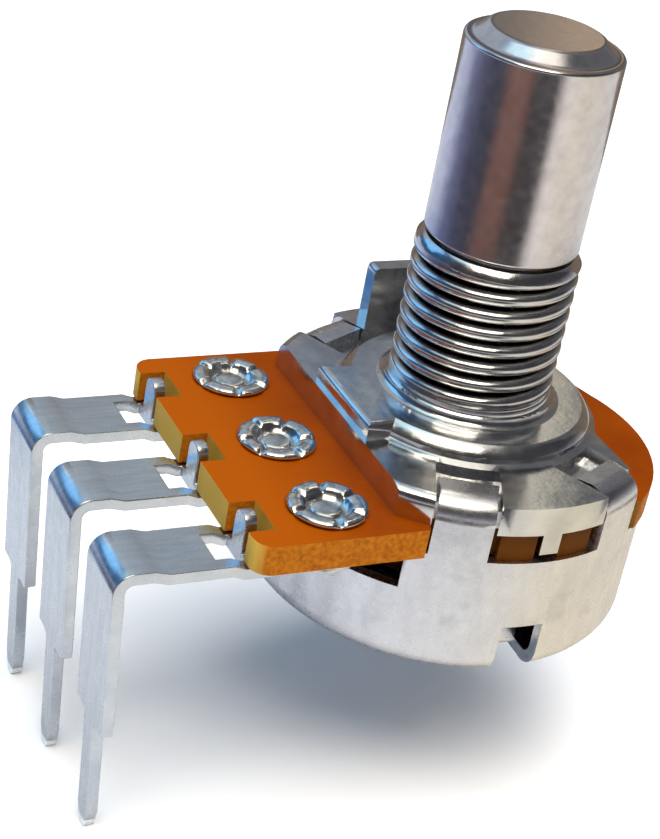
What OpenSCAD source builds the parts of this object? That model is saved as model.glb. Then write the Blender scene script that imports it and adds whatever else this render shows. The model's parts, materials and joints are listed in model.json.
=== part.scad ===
// Rotary potentiometer, 17 mm, single gang: threaded bush, plain round
// shaft, and three terminals bent down at the side for a circuit board.
// Millimetres. The origin is on the shaft axis, on the face that meets the
// panel. +Z runs up the shaft, and the terminals point toward -X.

/* [Shaft] */
// Diameter of the shaft above the bush
shaft_d = 6.35; // [6:0.05:6.8]
// Height of the shaft's end above the mounting face
shaft_reach = 15.5; // [10:0.5:40]
// Chamfer on the shaft's end
shaft_chamfer = 0.7; // [0.2:0.1:1.2]
// Gap between the shaft's shoulder and the top of the bush
shoulder_gap = 0.15; // [0.05:0.05:0.5]
// Diameter of the journal that turns inside the bush
journal_d = 5; // [4.4:0.1:5.4]
// Radial clearance of the journal in its bore
journal_fit = 0.03; // [0.01:0.01:0.08]
// Diameter of the bottom of the groove for the retaining ring
groove_d = 4.2; // [3.8:0.1:4.3]
// Diameter of the tail that carries the rotor
tail_d = 3.6; // [3:0.1:4]
// Width across the tail's two flats
tail_flats = 2.6; // [2.2:0.1:2.9]
// Diameter of the riveted head under the rotor
rivet_d = 4.4; // [4.2:0.1:5]
// Height of the riveted head
rivet_h = 0.3; // [0.2:0.05:0.6]

/* [Threaded bush] */
// Outer diameter of the thread
thread_d = 7; // [6.8:0.05:8]
// Height of the bush above the mounting face
bush_h = 7; // [5:0.5:12]
// Chamfer at the top of the bush
bush_chamfer = 0.5; // [0.2:0.1:0.7]
// Fillet at the foot of the bush
foot_fillet = 0.4; // [0.1:0.05:0.6]

/* [Die casting] */
// Diameter of the raised face that meets the panel
face_d = 10.6; // [10:0.1:11]
// Height of the raised face above the flange
face_h = 0.75; // [0.5:0.05:1.2]
// Rounding of the raised face's edge
face_round = 0.28; // [0.1:0.02:0.35]
// Distance from the axis to the end of the pad toward the terminals
pad_reach = 5.75; // [5.5:0.05:5.85]
// Width of that pad
pad_w = 4.9; // [3:0.1:6]
// Diameter of the collar round the foot of the raised face
collar_d = 11.2; // [11.1:0.1:11.6]
// Height of the fillet between collar and raised face
collar_fillet = 0.25; // [0.1:0.05:0.4]
// Diameter of the flange
flange_d = 16.7; // [16.5:0.1:17.5]
// Thickness of the flange
flange_t = 1.25; // [1:0.05:1.6]
// Rounding of the flange's upper edge
flange_round = 0.5; // [0.1:0.05:0.6]
// Distance from the axis to the flange's flat on the terminal side
flange_near = 5.9; // [5.9:0.05:6.4]
// Distance from the axis to the flange's flats on the far side
flange_far = 4.5; // [4:0.1:5]
// Half angle of each ear of the flange
ear_angle = 16.6; // [15:0.1:17]
// Depth of the seats for the cover's tabs
seat_depth = 0.5; // [0.3:0.05:0.6]
// Width of the stem under each ear
stem_w = 0.85; // [0.6:0.05:1]
// Height of the stem under each ear
stem_h = 1; // [0.5:0.1:1.2]
// Radial thickness of the stem under each ear
stem_t = 0.9; // [0.5:0.05:1]
// Width of the locating lug
lug_w = 3; // [2:0.1:4]
// Thickness of the locating lug
lug_t = 1.2; // [0.8:0.1:1.3]
// Distance from the axis to the middle of the locating lug
lug_y = 7.6; // [7.3:0.05:7.7]
// Height of the locating lug above the mounting face
lug_h = 2.3; // [1:0.1:3]
// Rounding of the lug's upper corners
lug_round = 0.3; // [0.1:0.05:0.5]
// Diameter of the pocket under the bush
pocket_d = 8.4; // [8:0.1:9]
// Depth of the pocket under the bush
pocket_h = 0.9; // [0.9:0.05:1]

/* [Washer and ring] */
// Diameter of the thrust washer
washer_d = 8; // [7:0.1:8]
// Thickness of the thrust washer
washer_t = 0.3; // [0.2:0.05:0.3]
// Radial clearance of the shaft in the thrust washer
washer_fit = 0.1; // [0.05:0.01:0.2]
// Outer diameter of the retaining ring
ring_d = 7.2; // [6.6:0.1:7.6]
// Thickness of the retaining ring
ring_t = 0.45; // [0.3:0.05:0.45]
// Width of the mouth of the retaining ring
ring_mouth = 3.2; // [2.4:0.1:3.6]
// Clearance of the retaining ring in its groove
ring_fit = 0.02; // [0.01:0.01:0.04]
// Running gap on each side of the thrust washer
thrust_gap = 0.05; // [0.02:0.01:0.06]

/* [Wafer] */
// Thickness of the wafer
wafer_t = 1.3; // [1:0.1:1.6]
// Distance from the axis to the wafer's terminal edge
wafer_reach = 12.1; // [11.6:0.1:12.4]
// Width of the wafer's straight-sided tongue
wafer_w = 14.3; // [13.8:0.1:16]
// Rounding of the tongue's two corners
wafer_corner = 0.8; // [0.3:0.1:1]
// Diameter of the wafer's lobe on the far side
lobe_d = 17; // [16.8:0.1:17.6]
// Half angle of that lobe
lobe_angle = 54; // [45:1:54]
// Diameter of the bosses between each pair of cover tabs
boss_d = 16.2; // [15.8:0.1:16.4]
// Half angle of those bosses
boss_angle = 15; // [13:0.5:15.5]
// Diameter of the wafer's hole for the shaft
wafer_hole_d = 6; // [5.6:0.1:6.4]
// Width of the notches for the terminals' upright tabs
notch_w = 2; // [1.4:0.1:2.4]
// Depth of those notches
notch_h = 1.1; // [0.9:0.05:1.4]

/* [Printed tracks] */
// Thickness of the printed tracks
print_t = 0.08; // [0.04:0.01:0.12]
// Middle diameter of the resistive track
track_d = 11.2; // [10.8:0.1:11.4]
// Width of the resistive track
track_w = 1.6; // [1:0.1:1.7]
// Angle that the resistive track covers
track_sweep = 300; // [260:1:305]
// Middle diameter of the collector track
collector_d = 7.8; // [7.6:0.1:8]
// Width of the collector track
collector_w = 1; // [0.6:0.1:1.1]
// Width of the leads between tracks and eyelets
lead_w = 1.2; // [0.8:0.1:1.6]
// Diameter of the printed pads round the eyelets
print_pad_d = 3; // [2.6:0.1:3.1]

/* [Rear cover] */
// Outer diameter of the cover
cover_d = 16.66; // [16.4:0.02:16.8]
// Height of the cover from rim to base
cover_h = 5.55; // [5.2:0.05:7]
// Thickness of the cover's sheet
cover_sheet = 0.5; // [0.4:0.05:0.6]
// Outer corner radius between wall and base
cover_corner = 1; // [0.7:0.1:1.5]
// Outer radius of the tabs' folds
fold_r = 0.55; // [0.4:0.05:0.7]
// Width of the tabs that fold over the flange
tab_w = 2.35; // [1.8:0.05:2.4]
// Angle from the Y axis to the middle of each tab
tab_angle = 26; // [25.5:0.1:27]
// Distance from the axis to the tip of each tab
tab_tip = 6.3; // [5.9:0.1:6.9]
// Clearance beside and behind the tabs
tab_fit = 0.13; // [0.05:0.01:0.15]
// Half angle of the opening toward the terminals
opening_angle = 50; // [46:1:52]
// Depth of that opening below the rim
opening_h = 1.85; // [1.5:0.05:2.5]
// Angle of the stop past the -Y direction
stop_angle = 2.5; // [0:0.5:5]
// Width of the stop tongue and of its notch
stop_w = 1.85; // [1.4:0.05:2.2]
// Distance from the axis to the outer face of the stop tongue
stop_reach = 6.6; // [6.3:0.05:6.7]
// Height of the stop tongue above the cover's base
stop_h = 2.55; // [2:0.05:2.7]
// Height of the notch in the wall above the cover's base
stop_notch_h = 2.45; // [1.8:0.05:2.6]

/* [Terminals] */
// Distance between neighbouring terminals
terminal_pitch = 5; // [4.6:0.1:5]
// Distance from the axis to the eyelets
eyelet_x = 8.4; // [8.3:0.05:8.6]
// Width of the terminal strip
strip_w = 3.2; // [2.8:0.1:3.4]
// Thickness of the terminal strip
strip_t = 0.5; // [0.3:0.05:0.5]
// Rise of the strip's outer length above its foot
strip_rise = 0.33; // [0.1:0.01:0.5]
// Distance from the axis to the upper end of that rise
rise_x = 15.8; // [15:0.1:16.2]
// Length of that rise
rise_l = 0.6; // [0.4:0.1:1]
// Distance from the axis to the outer face of the legs
leg_x = 17.4; // [17.2:0.1:19]
// Outer radius of the bend into the leg
bend_r = 0.85; // [0.6:0.05:1]
// Lean of the legs toward the body
leg_lean = 2.8; // [0:0.1:5]
// Length of the wide part of the leg below the bend
leg_l = 6.7; // [3:0.1:12]
// Width of the pin that enters the board
pin_w = 1; // [0.8:0.1:1.2]
// Length of that pin
pin_l = 5.5; // [3:0.1:7]
// Length of the pin's tapered tip
tip_l = 0.9; // [0.4:0.1:1.5]
// Width of the pin's tip
tip_w = 0.5; // [0.3:0.05:0.7]
// Fillet where the pin leaves the leg's shoulders
shoulder_fillet = 0.3; // [0.1:0.05:0.5]
// Distance from the axis to the inner face of the upright tab
upright_x = 11.5; // [11.3:0.05:11.6]
// Width of the upright tab
upright_w = 1; // [0.7:0.05:1.2]
// Height of the upright tab above the wafer's upper face
upright_proud = 0.05; // [0:0.05:0.4]
// Length of the hole that the upright tab was lanced from
lance_l = 1.2; // [0.8:0.1:1.6]
// Width of that hole
lance_w = 1.7; // [1.3:0.1:2]

/* [Eyelets] */
// Diameter of the eyelet's barrel
eyelet_d = 2; // [1.6:0.1:2.2]
// Diameter of the eyelet's bore
eyelet_bore = 1.3; // [0.8:0.1:1.4]
// Diameter of the rolled head on the wafer
head_d = 3.25; // [2.8:0.05:3.4]
// Height of the rolled head
head_h = 0.35; // [0.25:0.05:0.5]
// Number of splits in the rolled head
head_splits = 6; // [4:1:8]
// Width of those splits
split_w = 0.16; // [0.1:0.02:0.24]
// Diameter of the flange under the terminal
eyelet_base_d = 2.9; // [2.6:0.1:3.1]
// Thickness of that flange
eyelet_base_t = 0.22; // [0.15:0.01:0.3]
// Radial clearance round the barrel
eyelet_fit = 0.05; // [0.02:0.01:0.08]

/* [Rotor and wiper] */
// Diameter of the rotor
rotor_d = 13.6; // [13.2:0.1:14.2]
// Thickness of the rotor's disc
rotor_t = 1; // [0.8:0.05:1.2]
// Diameter of the rotor's hub
hub_d = 6.4; // [5.6:0.1:7]
// Height of the hub from the disc's upper face
hub_h = 2.8; // [2.2:0.1:3]
// Inner diameter of the rotor's stop lug
stop_lug_d = 9.8; // [9:0.1:10.5]
// Gap between the stop lug and the cover's base
stop_lug_gap = 0.35; // [0.2:0.05:0.6]
// Angle that the shaft turns between its stops
turn_sweep = 300; // [270:1:305]
// Gap left between lug and tongue at the end of the turn
stop_gap = 0.2; // [0.05:0.05:0.3]
// Clearance of the rotor on the shaft's tail
rotor_fit = 0.02; // [0.01:0.01:0.04]
// Height of the wiper from the rotor to its contacts
wiper_h = 0.97; // [0.7:0.01:1.2]
// Thickness of the wiper's sheet
wiper_sheet = 0.15; // [0.1:0.01:0.2]
// Gap between the wiper's contacts and the tracks
contact_gap = 0.05; // [0.02:0.01:0.1]
// Inner diameter of the wiper's spring loop
loop_inner_d = 6.2; // [5.8:0.1:6.4]
// Outer diameter of the wiper's spring loop
loop_outer_d = 8.6; // [8.2:0.1:9]
// Diameter of the contact domes
contact_d = 0.8; // [0.5:0.1:1]
// Height of the contact domes
contact_h = 0.15; // [0.1:0.01:0.2]
// Width of the wiper's foot on the rotor
wiper_foot_w = 4.4; // [3.6:0.1:5]
// Length of the wiper's foot on the rotor
wiper_foot_l = 2.2; // [1.6:0.1:2.4]
// Diameter of the two stakes that hold the wiper
stake_d = 0.7; // [0.5:0.1:0.9]
// Distance between the two stakes
stake_pitch = 2.8; // [2.2:0.1:3.2]

/* [Hidden] */
$fn = 96;

// Heights, from the mounting face down
flange_top = -face_h;
wafer_top = flange_top - flange_t;
wafer_bottom = wafer_top - wafer_t;
print_bottom = wafer_bottom - print_t;
foot_top = print_bottom;
foot_bottom = foot_top - strip_t;
seat_z = flange_top - seat_depth;
base_out = wafer_bottom - cover_h;
base_in = base_out + cover_sheet;
pocket_top = wafer_top + pocket_h;
washer_top = pocket_top - thrust_gap;
ring_top = washer_top - washer_t - thrust_gap;
wiper_top = print_bottom - contact_gap;
rotor_top = wiper_top - wiper_h;
hub_bottom = rotor_top - hub_h;
stop_lug_bottom = base_in + stop_lug_gap;

// Radii and angles that follow from the sizes above
bore_d = journal_d + 2 * journal_fit;
cover_inner = cover_d / 2 - cover_sheet;
tab_clear = cover_inner - tab_fit;
tab_angles = [-90 - tab_angle, -90 + tab_angle, 90 - tab_angle, 90 + tab_angle];
stem_outer = boss_d / 2 + tab_fit;
stop_inner = stop_reach - cover_sheet;
stop_half = atan(stop_w / 2 / stop_inner);
stop_gap_angle = 2 * asin(stop_gap / 2 / stop_inner);
stop_lug_half = 180 - turn_sweep / 2 - stop_half - stop_gap_angle;
barrel_hole = eyelet_d + 2 * eyelet_fit;
terminal_rows = [-terminal_pitch, 0, terminal_pitch];
overlap = 0.2;
far = 30;

// A wedge of the plane between two angles, to cut a sector from a disc
module wedge(from, to, reach = far) {
    steps = ceil((to - from) / 30);
    rim = [for (i = [0 : steps]) let (a = from + (to - from) * i / steps)
        reach * [cos(a), sin(a)]];
    polygon(concat([[0, 0]], rim));
}

// A sector of a disc
module sector(d, from, to) {
    intersection() {
        circle(d = d);
        wedge(from, to);
    }
}

// A sector of a ring
module ring_sector(mid_d, width, from, to) {
    difference() {
        sector(mid_d + width, from, to);
        circle(d = mid_d - width);
    }
}

// A straight bar in the plane from one point to another
module bar(start, end, width) {
    run = end - start;
    translate(start) rotate(atan2(run.y, run.x))
        translate([0, -width / 2]) square([norm(run), width]);
}

// Half of a revolved section, its outer upper corner rounded
module crowned_half(radius, height, rounding) {
    square([radius - rounding, height]);
    square([radius, height - rounding]);
    translate([radius - rounding, height - rounding]) circle(rounding);
}

// A flat-bottomed section standing on the X axis, both upper corners rounded
module crowned_bar(width, height, rounding) {
    translate([-width / 2, 0]) square([width, height - rounding]);
    translate([rounding - width / 2, 0]) square([width - 2 * rounding, height]);
    for (side = [-1, 1])
        translate([side * (width / 2 - rounding), height - rounding])
            circle(rounding);
}

// A circle with two flats, as on the shaft's tail
module double_flat(d, flats) {
    intersection() {
        circle(d = d);
        square([d + 1, flats], center = true);
    }
}

// A radial slot from a given distance outward, centred on an angle
module radial_slot(angle, start, width) {
    rotate(angle) translate([start, -width / 2]) square([far, width]);
}

// Shaft: turned journal, groove and shoulder, flattened and riveted tail
module shaft() {
    shoulder_z = bush_h + shoulder_gap;
    groove_top = ring_top + ring_fit;
    groove_bottom = ring_top - ring_t - ring_fit;
    color("silver") union() {
        rotate_extrude() polygon([
            [0, rotor_top],
            [journal_d / 2, rotor_top],
            [journal_d / 2, groove_bottom],
            [groove_d / 2, groove_bottom],
            [groove_d / 2, groove_top],
            [journal_d / 2, groove_top],
            [journal_d / 2, shoulder_z],
            [shaft_d / 2, shoulder_z],
            [shaft_d / 2, shaft_reach - shaft_chamfer],
            [shaft_d / 2 - shaft_chamfer, shaft_reach],
            [0, shaft_reach]
        ]);
        translate([0, 0, hub_bottom - overlap])
            linear_extrude(hub_h + 2 * overlap) double_flat(tail_d, tail_flats);
        translate([0, 0, hub_bottom - rivet_h])
            cylinder(d = rivet_d, h = rivet_h);
    }
}

// Barrel of the bush at the thread's outer diameter, filleted at its foot
module bush_barrel() {
    foot_r = thread_d / 2 + foot_fillet;
    rotate_extrude() {
        polygon([
            [0, flange_top],
            [thread_d / 2, flange_top],
            [thread_d / 2, bush_h - bush_chamfer],
            [thread_d / 2 - bush_chamfer, bush_h],
            [0, bush_h]
        ]);
        difference() {
            translate([0, flange_top]) square([foot_r, foot_fillet - flange_top]);
            translate([foot_r, foot_fillet]) circle(foot_fillet);
        }
    }
}

// Raised face that meets the panel: a round boss with a pad to one side
module raised_face() {
    height = face_h + flange_t;
    translate([0, 0, wafer_top]) {
        rotate_extrude() crowned_half(face_d / 2, height, face_round);
        intersection() {
            rotate([90, 0, -90]) linear_extrude(pad_reach)
                crowned_bar(pad_w, height, face_round);
            translate([0, pad_w, 0]) rotate([90, 0, 0])
                linear_extrude(2 * pad_w)
                    crowned_bar(2 * pad_reach, height, face_round);
        }
        cylinder(d = collar_d, h = flange_t);
        translate([0, 0, flange_t])
            cylinder(d1 = collar_d, d2 = face_d, h = collar_fillet);
    }
}

// Flange with its two ears, before the cover's tabs are let in
module flange_body() {
    translate([0, 0, wafer_top]) {
        intersection() {
            rotate_extrude() crowned_half(flange_d / 2, flange_t, flange_round);
            translate([-flange_near, -far / 2, -overlap])
                cube([flange_near + flange_far, far, flange_t + 2 * overlap]);
        }
        for (side = [-90, 90])
            linear_extrude(flange_t)
                sector(flange_d, side - ear_angle, side + ear_angle);
    }
}

// Room for the cover's four tabs: a seat on top and a way past the edge
module tab_seats() {
    seat_w = tab_w + 2 * tab_fit;
    for (angle = tab_angles) {
        translate([0, 0, seat_z]) linear_extrude(face_h + seat_depth)
            difference() {
                radial_slot(angle, 0, seat_w);
                circle(d = collar_d);
                wedge(angle + 90, angle + 270);
            }
        translate([0, 0, wafer_top - overlap])
            linear_extrude(flange_t + 2 * overlap)
                radial_slot(angle, tab_clear, seat_w);
    }
}

// Zinc die casting: bush, raised face, flange, ears, stems and locating lug
module mounting_bush() {
    color("lightsteelblue") difference() {
        union() {
            difference() {
                flange_body();
                tab_seats();
            }
            raised_face();
            bush_barrel();
            translate([0, lug_y + lug_t / 2, seat_z]) rotate([90, 0, 0])
                linear_extrude(lug_t)
                    crowned_bar(lug_w, lug_h - seat_z, lug_round);
            for (side = [-1, 1])
                translate([0, side * (stem_outer - stem_t / 2), 0])
                    translate([-stem_w / 2, -stem_t / 2, wafer_top - stem_h])
                        cube([stem_w, stem_t, stem_h + overlap]);
        }
        translate([0, 0, wafer_top - overlap])
            cylinder(d = bore_d, h = bush_h - wafer_top + 2 * overlap);
        translate([0, 0, wafer_top - overlap])
            cylinder(d = pocket_d, h = pocket_h + overlap);
    }
}

// Flat washer between the casting and the retaining ring
module thrust_washer() {
    color("gold") translate([0, 0, washer_top - washer_t]) difference() {
        cylinder(d = washer_d, h = washer_t);
        translate([0, 0, -overlap])
            cylinder(d = journal_d + 2 * washer_fit, h = washer_t + 2 * overlap);
    }
}

// Open ring that snaps into the shaft's groove
module retaining_ring() {
    color("dimgray") translate([0, 0, ring_top - ring_t])
        linear_extrude(ring_t) difference() {
            circle(d = ring_d);
            circle(d = groove_d + 2 * ring_fit);
            translate([-far, -ring_mouth / 2]) square([far, ring_mouth]);
        }
}

// Plan of the phenolic wafer
module wafer_outline() {
    straight = wafer_reach - wafer_corner;
    circle(r = tab_clear);
    sector(lobe_d, -lobe_angle, lobe_angle);
    for (side = [-90, 90])
        sector(boss_d, side - boss_angle, side + boss_angle);
    translate([-straight, -wafer_w / 2])
        square([straight - flange_far, wafer_w]);
    translate([-wafer_reach, wafer_corner - wafer_w / 2])
        square([wafer_reach, wafer_w - 2 * wafer_corner]);
    for (side = [-1, 1])
        translate([-straight, side * (wafer_w / 2 - wafer_corner)])
            circle(wafer_corner);
}

// Phenolic wafer that carries the tracks and the terminals
module wafer() {
    color("chocolate") translate([0, 0, wafer_bottom])
        linear_extrude(wafer_t) difference() {
            wafer_outline();
            circle(d = wafer_hole_d);
            for (angle = tab_angles)
                radial_slot(angle, tab_clear, tab_w + 2 * tab_fit);
            for (angle = [-90, 90])
                radial_slot(angle, stem_outer - stem_t - tab_fit,
                    stem_w + 2 * tab_fit);
            for (row = terminal_rows) {
                translate([-eyelet_x, row]) circle(d = barrel_hole);
                translate([-wafer_reach - far, row - notch_w / 2])
                    square([far + notch_h, notch_w]);
            }
        }
}

// One printed layer under the wafer
module printed() {
    translate([0, 0, print_bottom]) linear_extrude(print_t) children();
}

// Printed pad round an eyelet's hole
module print_pad(row) {
    translate([-eyelet_x, row]) circle(d = print_pad_d);
}

// Carbon track that the outer contact sweeps
module resistive_track() {
    color("black") printed()
        ring_sector(track_d, track_w, -track_sweep / 2, track_sweep / 2);
}

// Silver print from one end of the resistive track to an outer eyelet
module end_contact(side) {
    track_end = track_sweep / 2;
    end_angle = lead_w / (PI * track_d) * 360;
    middle = track_end + end_angle / 2;
    near = track_d / 2 * [cos(middle), side * sin(middle)];
    row = side * terminal_pitch;
    from = side > 0 ? track_end : -track_end - end_angle;
    color("lightgray") printed() difference() {
        union() {
            ring_sector(track_d, track_w, from, from + end_angle);
            difference() {
                bar(near, [-eyelet_x, row], lead_w);
                circle(d = track_d);
            }
            print_pad(row);
        }
        translate([-eyelet_x, row]) circle(d = barrel_hole);
    }
}

// Ring that the inner contact sweeps, with its lead to the middle eyelet
module collector_track() {
    color("lightgray") printed() difference() {
        union() {
            circle(d = collector_d + collector_w);
            bar([0, 0], [-eyelet_x, 0], lead_w);
            print_pad(0);
        }
        circle(d = collector_d - collector_w);
        translate([-eyelet_x, 0]) circle(d = barrel_hole);
    }
}

// Side view of the strip, from its foot to the bend above the leg
module strip_side() {
    outer_top = foot_top + strip_rise;
    bend_x = bend_r - leg_x;
    bend_z = outer_top - bend_r;
    polygon([
        [-eyelet_x, foot_bottom],
        [-eyelet_x, foot_top],
        [rise_l - rise_x, foot_top],
        [-rise_x, outer_top],
        [bend_x, outer_top],
        [bend_x, outer_top - strip_t],
        [-rise_x, outer_top - strip_t],
        [rise_l - rise_x, foot_bottom]
    ]);
    translate([bend_x, bend_z]) difference() {
        sector(2 * bend_r, 90, 180 + leg_lean);
        circle(r = bend_r - strip_t);
    }
}

// Front view of the leg and its pin, hanging from the X axis
module leg_front() {
    pin_end = leg_l + pin_l;
    translate([-strip_w / 2, -leg_l]) square([strip_w, leg_l]);
    polygon([
        [-pin_w / 2, -leg_l + overlap],
        [pin_w / 2, -leg_l + overlap],
        [pin_w / 2, tip_l - pin_end],
        [tip_w / 2, -pin_end],
        [-tip_w / 2, -pin_end],
        [-pin_w / 2, tip_l - pin_end]
    ]);
    for (side = [-1, 1])
        translate([side * (pin_w + shoulder_fillet) / 2, -leg_l - shoulder_fillet / 2])
            difference() {
                square(shoulder_fillet, center = true);
                translate([side, -1] * shoulder_fillet / 2)
                    circle(shoulder_fillet);
            }
}

// Terminal: strip with a round foot, an upright tab, and a leg with its pin
module terminal(row) {
    upright_h = wafer_top + upright_proud - foot_bottom;
    bend_z = foot_top + strip_rise - bend_r;
    color("gainsboro") translate([0, row, 0]) difference() {
        union() {
            translate([0, strip_w / 2, 0]) rotate([90, 0, 0])
                linear_extrude(strip_w) strip_side();
            translate([-eyelet_x, 0, foot_bottom])
                cylinder(d = strip_w, h = strip_t);
            translate([bend_r - leg_x, 0, bend_z]) rotate([0, -leg_lean, 0])
                translate([strip_t - bend_r, 0, 0]) rotate([90, 0, -90])
                    linear_extrude(strip_t) leg_front();
            translate([-upright_x, 0, foot_bottom]) rotate([90, 0, -90])
                linear_extrude(strip_t)
                    crowned_bar(upright_w, upright_h, upright_w / 2 - 0.05);
        }
        translate([-eyelet_x, 0, foot_bottom - overlap])
            cylinder(d = barrel_hole, h = strip_t + 2 * overlap);
        translate([-upright_x - strip_t - lance_l, -lance_w / 2,
                foot_bottom - overlap])
            cube([lance_l, lance_w, strip_t + 2 * overlap]);
    }
}

// Eyelet: rolled and split head, barrel and lower flange
module eyelet(row) {
    roll = head_h / 2;
    bottom = foot_bottom - eyelet_base_t;
    mouth = head_d / 2 - 2 * roll;
    color("whitesmoke") translate([-eyelet_x, row, 0]) difference() {
        rotate_extrude() difference() {
            union() {
                translate([0, bottom]) square([eyelet_base_d / 2, eyelet_base_t]);
                translate([0, bottom])
                    square([eyelet_d / 2, wafer_top + roll - bottom]);
                translate([0, wafer_top]) square([head_d / 2 - roll, roll]);
                translate([head_d / 2 - roll, wafer_top + roll]) circle(roll);
            }
            translate([0, bottom - overlap])
                square([eyelet_bore / 2, foot_top - bottom]);
        }
        for (i = [0 : head_splits - 1])
            rotate(360 / head_splits * (i + 0.5))
                translate([mouth, -split_w / 2, wafer_top + roll])
                    cube([head_d / 2, split_w, head_h]);
    }
}

// Moulded rotor: disc, hub, stop lug and the stakes that hold the wiper
module rotor() {
    lug_middle = 90 - stop_angle;
    disc_bottom = rotor_top - rotor_t;
    color("saddlebrown") difference() {
        union() {
            translate([0, 0, disc_bottom]) cylinder(d = rotor_d, h = rotor_t);
            translate([0, 0, hub_bottom]) cylinder(d = hub_d, h = hub_h);
            translate([0, 0, stop_lug_bottom])
                linear_extrude(disc_bottom - stop_lug_bottom + overlap)
                    difference() {
                        sector(rotor_d, lug_middle - stop_lug_half,
                            lug_middle + stop_lug_half);
                        circle(d = stop_lug_d);
                    }
            for (side = [-1, 1])
                translate([-stake_x(), side * stake_pitch / 2, disc_bottom])
                    cylinder(d = stake_d, h = rotor_t + 2 * wiper_sheet);
        }
        translate([0, 0, hub_bottom - overlap])
            linear_extrude(hub_h + 2 * overlap)
                double_flat(tail_d + 2 * rotor_fit, tail_flats + 2 * rotor_fit);
    }
}

// Distance from the axis to the stakes, in the middle of the wiper's foot
function stake_x() = loop_outer_d / 2 + wiper_foot_l / 2 - wiper_sheet;

// Spring wiper: a foot on the rotor and a loop that rises to both tracks
module wiper() {
    hinge_x = -loop_outer_d / 2;
    reach = track_d / 2 - hinge_x;
    rise = wiper_h - wiper_sheet - contact_h;
    slope = asin(rise / reach);
    foot_x = hinge_x - wiper_foot_l;
    color("peru") union() {
        translate([0, 0, rotor_top]) linear_extrude(wiper_sheet) difference() {
            translate([foot_x, -wiper_foot_w / 2])
                square([wiper_foot_l + overlap, wiper_foot_w]);
            for (side = [-1, 1])
                translate([-stake_x(), side * stake_pitch / 2])
                    circle(d = stake_d + 2 * rotor_fit);
        }
        translate([hinge_x, 0, rotor_top]) rotate([0, -slope, 0]) {
            linear_extrude(wiper_sheet) translate([-hinge_x, 0]) difference() {
                union() {
                    circle(d = loop_outer_d);
                    translate([0, -contact_d])
                        square([track_d / 2 + contact_d / 2, 2 * contact_d]);
                    translate([hinge_x, -wiper_foot_w / 2])
                        square([wiper_foot_w / 2, wiper_foot_w]);
                }
                circle(d = loop_inner_d);
            }
            for (at = [collector_d / 2, track_d / 2])
                translate([at - hinge_x, 0, 0])
                    cylinder(d1 = contact_d, d2 = contact_d / 2,
                        h = wiper_sheet + contact_h);
        }
    }
}

// Half section of the cover: base, wall, and the fold over the flange
module cover_half() {
    top = seat_z + cover_sheet;
    height = top - base_out;
    inner_corner = cover_corner - cover_sheet;
    difference() {
        union() {
            translate([0, base_out])
                square([cover_d / 2 - cover_corner, height]);
            translate([0, base_out + cover_corner])
                square([cover_d / 2, height - cover_corner - fold_r]);
            translate([0, base_out + cover_corner])
                square([cover_d / 2 - fold_r, height - cover_corner]);
            translate([cover_d / 2 - cover_corner, base_out + cover_corner])
                circle(cover_corner);
            translate([cover_d / 2 - fold_r, top - fold_r]) circle(fold_r);
        }
        translate([0, base_in]) square([cover_inner - inner_corner, seat_z - base_in]);
        translate([0, base_in + inner_corner])
            square([cover_inner, seat_z - base_in - inner_corner]);
        translate([cover_inner - inner_corner, base_in + inner_corner])
            circle(inner_corner);
    }
}

// Side view of the stop tongue, bent up from the cover's base
module stop_side() {
    bend = cover_sheet + 0.1;
    difference() {
        translate([stop_inner, base_out]) square([cover_sheet, stop_h]);
        translate([stop_reach - bend, base_out]) difference() {
            square(bend);
            translate([0, bend]) circle(bend);
        }
    }
}

// Drawn steel cover: cup, four folded tabs, opening, and the bent-up stop
module rear_cover() {
    color("gainsboro") union() {
        difference() {
            intersection() {
                rotate_extrude() cover_half();
                union() {
                    translate([-far / 2, -far / 2, base_out - overlap])
                        cube([far, far, cover_h + overlap]);
                    for (angle = tab_angles)
                        translate([0, 0, wafer_bottom - overlap])
                            linear_extrude(far)
                                radial_slot(angle, tab_tip, tab_w);
                }
            }
            translate([0, 0, wafer_bottom - opening_h]) linear_extrude(far)
                wedge(180 - opening_angle, 180 + opening_angle);
            translate([0, 0, base_out - overlap])
                linear_extrude(stop_notch_h + overlap)
                    radial_slot(-90 - stop_angle, stop_inner, stop_w);
        }
        rotate([0, 0, -90 - stop_angle]) translate([0, stop_w / 2, 0])
            rotate([90, 0, 0]) linear_extrude(stop_w) stop_side();
    }
}

shaft();
mounting_bush();
thrust_washer();
retaining_ring();
wafer();
resistive_track();
end_contact(-1);  // end_contact_1
end_contact(1);  // end_contact_3
collector_track();
terminal(terminal_rows[0]);  // terminal_1
terminal(terminal_rows[1]);  // terminal_2
terminal(terminal_rows[2]);  // terminal_3
eyelet(terminal_rows[0]);  // eyelet_1
eyelet(terminal_rows[1]);  // eyelet_2
eyelet(terminal_rows[2]);  // eyelet_3
rotor();
wiper();
rear_cover();
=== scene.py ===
# %% [markdown]
# # Dressing a rotary potentiometer
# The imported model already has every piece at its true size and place: shaft,
# threaded casting, wafer, terminals, eyelets, cover and the parts inside.
# This lesson gives each piece its finish and its fine forms, such as the
# thread, the rolled eyelets and the broken edges that catch the light.

# %% Load the fixed frame
import json
import math
import random

import bmesh
import bpy
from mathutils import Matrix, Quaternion, Vector


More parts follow.
